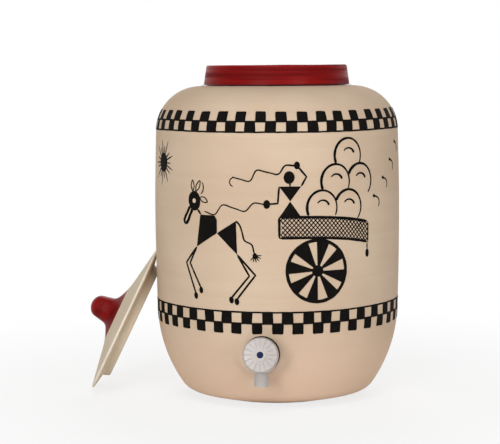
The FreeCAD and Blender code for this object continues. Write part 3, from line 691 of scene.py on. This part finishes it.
def make_bands(material):
    """Two chequered bands, each of two rows of black squares with thin lines along them."""
    draw = random.Random(11)
    shapes = []
    pitch = ROUND / BAND_SQUARES
    for top, middle, bottom, first in (UPPER_BAND + (UPPER_FIRST,), LOWER_BAND + (LOWER_FIRST,)):
        for n in range(BAND_SQUARES):
            left = first + n * pitch + draw.uniform(-1.1, 1.1)
            wide = pitch * 0.545 + draw.uniform(-0.5, 0.5)
            sway = band_sway(left, 1.1)
            rows = ((left, middle, top), (left + pitch / 2, bottom, middle))
            for start, low, high in rows:
                shapes.append(square(start, start + wide, low + sway, high + sway, draw))
        lines = (middle, bottom) if first == UPPER_FIRST else (middle, top)
        for level in lines:
            count = 300
            line = []
            for n in range(count + 1):
                s = ROUND * n / count - ROUND / 2
                line.append(Vector((s, level + band_sway(s, 1.1) + 0.2 * hand(s, level, 2, 9))))
            shapes.append(stroke(line, 1.7, blunt=False))
    return drape("painted_bands", shapes, material)


# The figures are built from whole sizes in millimetres, angles in degrees from the right, and formulas.
WHEEL_MIDDLE, WHEEL_RADIUS, WHEEL_RIM, HUB_RADIUS = Vector((39, 147)), 33, 3.5, 6
WHEEL_SPOKES, WHEEL_TURN, GAP_WIDTH = 8, 13, 19
CART_LENGTH, CART_TOP, CART_FOOT, CART_DROOP = 101, 202, 181, 8
LATTICE_PITCH, LATTICE_SLANT = 4.4, 19.0
LOAD_START, LOAD_PITCH, LOAD_RISE, LOAD_ROWS = Vector((44, 211)), 30, 26, (2, 2, 1)
BUNDLE_ACROSS, BUNDLE_UP = 16, 17.5
DRIVER_WAIST = Vector((11, 218))
ANIMAL_WAIST = Vector((-65, 185))
SUN_MIDDLE = Vector((-150, 254))
CURL_START, CURL_STEP, CURL_COUNT = Vector((110, 220)), Vector((16.5, 18)), 4


def way(angle, length=1.0):
    angle = math.radians(angle)
    return Vector((math.cos(angle), math.sin(angle))) * length


def limb(root, *links):
    """The joints of a limb whose links are given as length and angle."""
    joints = [root]
    for length, angle in links:
        joints.append(joints[-1] + way(angle, length))
    return joints


def wave(root, angle, length, swing, turns, lead=0.0):
    """A cord or tail that swings from side to side along its way, more as it goes."""
    count = 12 * math.ceil(turns)
    line = []
    for n in range(count + 1):
        share = n / count
        turn = FULL_TURN * turns * share + math.radians(lead)
        side = swing * min(1.0, 0.3 + 2 * share) * math.sin(turn + 0.5 * math.sin(turn))
        line.append(root + way(angle, length * share) + way(angle + 90, side))
    return line


def make_wheel_shapes():
    """A rim, a hub and filled spokes of uneven width."""
    draw = random.Random(8)
    reach = WHEEL_RADIUS - WHEEL_RIM / 2
    rim = [WHEEL_MIDDLE + way(FULL_TURN_DEGREES * n / 96, reach) for n in range(97)]
    shapes = [stroke(rim, WHEEL_RIM, blunt=False), filled(oval(WHEEL_MIDDLE, HUB_RADIUS, HUB_RADIUS))]
    pitch = FULL_TURN_DEGREES / WHEEL_SPOKES
    gaps = []
    for n in range(WHEEL_SPOKES):
        middle = WHEEL_TURN + pitch * n + draw.uniform(-3, 3)
        half = (GAP_WIDTH + draw.uniform(-3, 3)) / 2
        gaps.append((middle - half, middle + half))
    for n in range(WHEEL_SPOKES):
        start = gaps[n][1]
        end = gaps[(n + 1) % WHEEL_SPOKES][0] + (FULL_TURN_DEGREES if n == WHEEL_SPOKES - 1 else 0)
        arc = [WHEEL_MIDDLE + way(start + (end - start) * k / 6, reach) for k in range(7)]
        shapes.append(filled([WHEEL_MIDDLE] + arc))
    return shapes


def cart_level(s, share):
    """A height on the cart's box, 0 at its foot and 1 at its top. The box droops towards its end."""
    along = max(s, 0) / CART_LENGTH
    return CART_FOOT + (CART_TOP - CART_FOOT) * share - CART_DROOP * along ** 3


def make_cart_shapes():
    """The cart's box: an outline filled with a diagonal lattice, and a drop that hangs from its end."""
    shapes = []
    for share, width in ((1, 2.8), (0, 2.6)):
        edge = [Vector((s, cart_level(s, share))) for s in range(0, CART_LENGTH + 1, 3)]
        shapes.append(stroke(edge, width))
    for s, width in ((0, 2.8), (CART_LENGTH - 1, 1.6)):
        shapes.append(stroke([Vector((s, cart_level(s, n / 8))) for n in range(9)], width))
    for side in (1, -1):
        for n in range(math.ceil((CART_LENGTH + LATTICE_SLANT) / LATTICE_PITCH)):
            foot = n * LATTICE_PITCH - (LATTICE_SLANT if side > 0 else 0)
            line = []
            for k in range(13):
                s = foot + side * LATTICE_SLANT * k / 12
                if 1 < s < CART_LENGTH - 1:
                    line.append(Vector((s, cart_level(s, k / 12))))
            if len(line) > 2:
                shapes.append(stroke(line, 1.1, blunt=False))
    corner = Vector((CART_LENGTH - 2, cart_level(CART_LENGTH, 0)))
    shapes.append(stroke(straight((corner, corner + Vector((0, -8)))), 1.5))
    shapes.append(filled(oval(corner + Vector((0, -11)), 2.5, 4.2)))
    return shapes


def make_load_shapes():
    """Round bundles stacked in rows, each with a small arc. The first of a row lies before the next."""
    shapes = []
    for row, count in enumerate(LOAD_ROWS):
        for n in range(count):
            middle = LOAD_START + Vector((LOAD_PITCH * (n + row / 2), LOAD_RISE * row))
            low, high = (-28, 206) if n == 0 else (-46, 158)
            line = []
            for k in range(49):
                place = way(high + (low - high) * k / 48)
                line.append(middle + Vector((BUNDLE_ACROSS * place.x, BUNDLE_UP * place.y)))
            shapes.append(stroke(line, 3.1, 1.3))
            inner = [middle + Vector((0.5, 0.5)) + way(angle, 7) for angle in range(145, 14, -26)]
            shapes.append(stroke(spline(inner, 1.0), 1.4, 2.5))
    return shapes


def make_driver_shapes():
    """The driver: a head, two triangles and two arms, in the plain manner of folk wall painting."""
    waist = DRIVER_WAIST
    shoulder, hip = Vector((11, 15)), Vector((11, 16))
    left, right = waist + Vector((-shoulder.x, shoulder.y)), waist + shoulder
    head = waist + Vector((-1, 24))
    raised = limb(right, (11, 60), (15, 130))
    forward = limb(left, (17, 265), (11, 185))
    whip = wave(raised[-1], 193, 66, 4.5, 2.2, 180)
    hook = [whip[-1] + way(angle, 4.5) + Vector((1, -5)) for angle in range(110, 261, 30)]
    reins = wave(forward[-1], 187, 68, 4.5, 2.0, 180)
    return [
        filled(oval(head, 5.5, 6.3)),
        stroke(straight((head, waist + Vector((0, 14)))), 1.8),
        filled(soft_polygon((left, waist, right), 0.6)),
        filled(soft_polygon((waist, waist - hip, waist + Vector((hip.x, -hip.y))), 0.6)),
        stroke(straight(raised), 2.0),
        stroke(straight(forward), 1.9),
        filled(oval(raised[-1], 3.0, 4.0)),
        filled(oval(forward[-1], 3.5, 4.5)),
        stroke(spline(whip + hook), 1.8, 1.1),
        stroke(spline(reins), 1.5, 1.2),
    ]


def leaf(root, angle, length, belly):
    """A narrow ear drawn as an outline: out along one side and back along the other."""
    root, tip = Vector(root), root + way(angle, length)
    side = way(angle + 90, belly)
    middle = (root + tip) / 2
    return stroke(spline((root, middle + side, tip, middle - side, root)), 1.15)


ANIMAL_HEAD = ANIMAL_WAIST + Vector((-28, 32))
MUZZLE_ANGLE, MUZZLE_LENGTH = 240, 28


def make_animal_shapes():
    """The draught animal: two body shapes, thin jointed legs, a long head with three ears and a tail."""
    waist = ANIMAL_WAIST
    front_hip, withers = waist + Vector((-25, -15)), waist + Vector((-20, 18))
    rear_hip, rump = waist + Vector((22, -21)), waist + Vector((21, 13))
    tail = wave(rump, 300, 40, 2.2, 1.6, 0)
    shapes = [
        filled(soft_polygon((
            withers, front_hip, waist, waist + Vector((0, 14)), waist + Vector((-3, 18)),
        ), 1.4)),
        filled(soft_polygon((waist, rear_hip, rump), 0.6)),
        filled(oval(ANIMAL_HEAD, 8, 10, 6)),
        stroke(straight([ANIMAL_HEAD + way(MUZZLE_ANGLE, along) for along in (6, MUZZLE_LENGTH)]), 7.0, 9.4),
        stroke(straight((ANIMAL_HEAD + Vector((4, -8)), withers + Vector((1, 0)))), 2.2),
        leaf(ANIMAL_HEAD + Vector((-2, 9)), 92, 12, 2.0),
        leaf(ANIMAL_HEAD + Vector((2, 9)), 65, 13, 2.3),
        leaf(ANIMAL_HEAD + Vector((7, 4)), 335, 11, 2.6),
        stroke([ANIMAL_HEAD + Vector((3, 14)) + way(angle, 9) for angle in range(-50, 41, 15)], 1.4, 1.0),
        stroke(spline(tail), 1.8, 1.4),
        filled(oval(tail[-1], 2.3, 2.9)),
    ]
    for angle in range(225, 366, 28):
        shapes.append(stroke(straight((tail[-1], tail[-1] + way(angle, 7)), 1.5), 1.7, 0.8))
    legs = (
        limb(front_hip, (23, 228), (34, 292)), limb(front_hip, (20, 240), (29, 300)),
        limb(rear_hip, (25, 300), (30, 230)), limb(rear_hip, (28, 312), (32, 232)),
    )
    for joints in legs:
        shapes.append(stroke(straight(joints), 2.0))
        shapes.append(filled(oval(joints[-1] + Vector((0, -2)), 2.5, 3.6, 8)))
    return shapes


def make_sun_shapes():
    """The sun: a disc with long and short rays."""
    draw = random.Random(4)
    shapes = [filled(oval(SUN_MIDDLE, 9.6, 10.0))]
    rays = 18
    for n in range(rays):
        angle = FULL_TURN_DEGREES * (n + draw.uniform(-0.2, 0.2)) / rays
        reach = (24 if n % 2 else 18) + draw.uniform(-1.5, 1.5)
        shapes.append(stroke([SUN_MIDDLE + way(angle, r) for r in (8.5, 12, 16, reach)], 1.9, 0.7))
    return shapes


def make_curl_shapes():
    """Small hooked strokes that climb away behind the cart."""
    shapes = []
    for n in range(CURL_COUNT):
        root = CURL_START + CURL_STEP * n
        curl = [root] + [root + Vector((3, -7)) + way(angle, 6) for angle in range(75, -46, -30)]
        shapes.append(stroke(spline(curl), 1.9, 0.9))
        shapes.append(filled(oval(root, 1.9, 1.7, -20, 20)))
    return shapes


def make_painting(black, pale):
    """All of the painting. Each piece rides on the pot."""
    pieces = [
        make_bands(black),
        drape("painted_cart", make_wheel_shapes() + make_cart_shapes() + make_load_shapes(), black),
        drape("painted_driver", make_driver_shapes(), black),
        drape("painted_animal", make_animal_shapes(), black),
        drape("painted_sun_and_curls", make_sun_shapes() + make_curl_shapes(), black),
        drape("painted_animal_eye", [
            filled(oval(ANIMAL_HEAD, 2.1, 2.3, 0, 24)),
            stroke(straight([
                ANIMAL_HEAD + way(MUZZLE_ANGLE, along) for along in (9, MUZZLE_LENGTH - 3)
            ]), 0.9, 2.0),
        ], pale, PAINT_LIFT + 0.12),
    ]
    for piece in pieces:
        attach(piece, "pot")


# ---------------------------------------------------------------- camera, light and room
# Where the camera stands, how far it looks down, how far it is turned on its own axis, and its lens
CAMERA_PLACE, CAMERA_PITCH, CAMERA_ROLL, CAMERA_LENS = (-0.0294, -1.850, 0.3525), 5.149, 0.35, 123.84

# Soft lamps: name, place, what it is aimed at, width, height and power
LAMPS = (
    ("key", (-1.30, -2.65, 0.52), (0, 0, 0.12), 0.7, 1.6, 35),
    ("fill", (1.60, -2.5, 0.55), (0, 0, 0.15), 0.7, 1.5, 20),
    ("top", (-0.1, -1.9, 2.3), (0, 0, 0.17), 1.2, 1.2, 20),
    ("back", (0.2, 2.4, 1.6), (0, 0, 0.17), 1.6, 1.6, 30),
)
ROOM_LIGHT = 0.28
FLOOR_SIZE, FLOOR_BELOW = 6, 0.0002


def make_camera():
    """The photograph's view: slightly from above, with a small roll."""
    pitch, roll = math.radians(CAMERA_PITCH), math.radians(CAMERA_ROLL)
    data = bpy.data.cameras.new("camera")
    data.sensor_fit = "HORIZONTAL"
    data.sensor_width = 36
    data.lens = CAMERA_LENS
    data.clip_start, data.clip_end = 0.05, 50
    ahead = Vector((0, math.cos(pitch), -math.sin(pitch)))
    up_level = Vector((0, math.sin(pitch), math.cos(pitch)))
    right = Vector((1, 0, 0)) - up_level * roll
    right.normalize()
    up = right.cross(ahead)
    turn = Matrix((right, up, -ahead)).transposed().to_4x4()
    camera = bpy.data.objects.new("camera", data)
    bpy.context.scene.collection.objects.link(camera)
    camera.matrix_world = Matrix.Translation(CAMERA_PLACE) @ turn
    bpy.context.scene.camera = camera


def make_lamp(name, place, target, wide, high, power):
    data = bpy.data.lights.new(name, "AREA")
    data.shape = "RECTANGLE"
    data.size = wide
    data.size_y = high
    data.energy = power
    lamp = bpy.data.objects.new(name, data)
    bpy.context.scene.collection.objects.link(lamp)
    lamp.location = place
    aim = Vector(target) - Vector(place)
    lamp.rotation_mode = "QUATERNION"
    lamp.rotation_quaternion = aim.to_track_quat("-Z", "Y")


def seen_directly(tree):
    """1 for what is seen directly, in a mirror or through glass, 0 for what only lights the object."""
    path = tree.nodes.new("ShaderNodeLightPath")
    either = path.outputs["Is Camera Ray"]
    for kind in ("Is Glossy Ray", "Is Transmission Ray"):
        larger = tree.nodes.new("ShaderNodeMath")
        larger.operation = "MAXIMUM"
        tree.links.new(either, larger.inputs[0])
        tree.links.new(path.outputs[kind], larger.inputs[1])
        either = larger.outputs["Value"]
    return either


def make_room():
    for lamp in LAMPS:
        make_lamp(*lamp)
    world = bpy.data.worlds.new("room")
    world.use_nodes = True
    tree = world.node_tree
    tree.nodes.clear()
    output = tree.nodes.new("ShaderNodeOutputWorld")
    seen = tree.nodes.new("ShaderNodeBackground")
    seen.inputs["Color"].default_value = (1, 1, 1, 1)
    seen.inputs["Strength"].default_value = 1.0
    light = tree.nodes.new("ShaderNodeBackground")
    light.inputs["Color"].default_value = (1.0, 0.985, 0.965, 1)
    light.inputs["Strength"].default_value = ROOM_LIGHT
    mix = tree.nodes.new("ShaderNodeMixShader")
    tree.links.new(seen_directly(tree), mix.inputs[0])
    tree.links.new(light.outputs[0], mix.inputs[1])
    tree.links.new(seen.outputs[0], mix.inputs[2])
    tree.links.new(mix.outputs[0], output.inputs[0])
    bpy.context.scene.world = world

    floor_material = bpy.data.materials.new("floor_white")
    floor_material.use_nodes = True
    tree = floor_material.node_tree
    tree.nodes.clear()
    output = tree.nodes.new("ShaderNodeOutputMaterial")
    matte = tree.nodes.new("ShaderNodeBsdfDiffuse")
    matte.inputs["Color"].default_value = (0.90, 0.90, 0.90, 1)
    plain = tree.nodes.new("ShaderNodeEmission")
    plain.inputs["Color"].default_value = (1, 1, 1, 1)
    # the object's soft shadow shows near it, and further away the floor is as white as the room
    place = tree.nodes.new("ShaderNodeTexCoord")
    distance = tree.nodes.new("ShaderNodeVectorMath")
    distance.operation = "LENGTH"
    tree.links.new(place.outputs["Object"], distance.inputs[0])
    fade = tree.nodes.new("ShaderNodeMapRange")
    fade.interpolation_type = "SMOOTHSTEP"
    for socket, value in (("From Min", 0.15), ("From Max", 0.70), ("To Min", 0.78), ("To Max", 1.0)):
        fade.inputs[socket].default_value = value
    tree.links.new(distance.outputs["Value"], fade.inputs["Value"])
    share = tree.nodes.new("ShaderNodeMath")
    share.operation = "MULTIPLY"
    tree.links.new(fade.outputs["Result"], share.inputs[1])
    mix = tree.nodes.new("ShaderNodeMixShader")
    tree.links.new(seen_directly(tree), share.inputs[0])
    tree.links.new(share.outputs[0], mix.inputs[0])
    tree.links.new(matte.outputs[0], mix.inputs[1])
    tree.links.new(plain.outputs[0], mix.inputs[2])
    tree.links.new(mix.outputs[0], output.inputs[0])
    corners = [(x * FLOOR_SIZE, y * FLOOR_SIZE, 0) for x, y in ((-1, -1), (1, -1), (1, 1), (-1, 1))]
    floor = new_object("floor", corners, [(0, 1, 2, 3)], floor_material)
    floor.location.z = -FLOOR_BELOW


# ---------------------------------------------------------------- putting it together
pot_clay = make_pot_clay()
lid_clay = make_lid_clay()
white_plastic = make_plastic("white_plastic", srgb(192, 187, 183), srgb(184, 179, 175), 0.36)
knob_plastic = make_plastic("knob_white_plastic", srgb(198, 191, 187), srgb(190, 182, 178), 0.34)
grey_plastic = make_plastic("inner_plastic", srgb(196, 196, 192), srgb(184, 184, 180), 0.5)
blue_plastic = make_plastic("dark_blue_plastic", srgb(20, 30, 84), srgb(14, 20, 62), 0.3, 200, 0.16)
rubber = make_rubber()

# Detailed pieces that stand for a CAD node: the piece, its body, the node and its material slot
for piece, body, node, slot in (
    (make_pot(pot_clay), "pot", "pot_body", "pot_clay"),
    (make_lid(lid_clay), "lid", "lid", "lid_clay"),
    (make_knob(knob_plastic), "tap_knob", "knob", "knob_plastic"),
    (make_washer(rubber), "pot", "outer_washer", "black_rubber"),
):
    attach(piece, body)
    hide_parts(node)

make_painting(make_black_paint(), make_light_paint())

NODE_FINISH = {
    "tap_body": white_plastic, "back_nut": white_plastic, "bonnet": white_plastic,
    "inner_washer": rubber, "valve_washer": rubber, "spindle_seal": rubber,
    "bonnet_gasket": make_fibre(), "valve_plunger": grey_plastic, "spindle": grey_plastic,
    "knob_screw": make_steel(), "knob_cap": blue_plastic,
}
ROUNDED_NODES = {"tap_body": 0.5, "back_nut": 0.6, "bonnet": 0.3, "inner_washer": 0.4}
for node, finish in NODE_FINISH.items():
    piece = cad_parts[node]
    piece.data.materials.clear()
    piece.data.materials.append(finish)
    if node in ROUNDED_NODES:
        bevel = piece.modifiers.new("moulded_edges", "BEVEL")
        bevel.width = ROUNDED_NODES[node] * MM
        bevel.segments = 2
        bevel.limit_method = "ANGLE"
        bevel.angle_limit = math.radians(40)

make_camera()
make_room()
bpy.context.scene.view_settings.view_transform = "Standard"
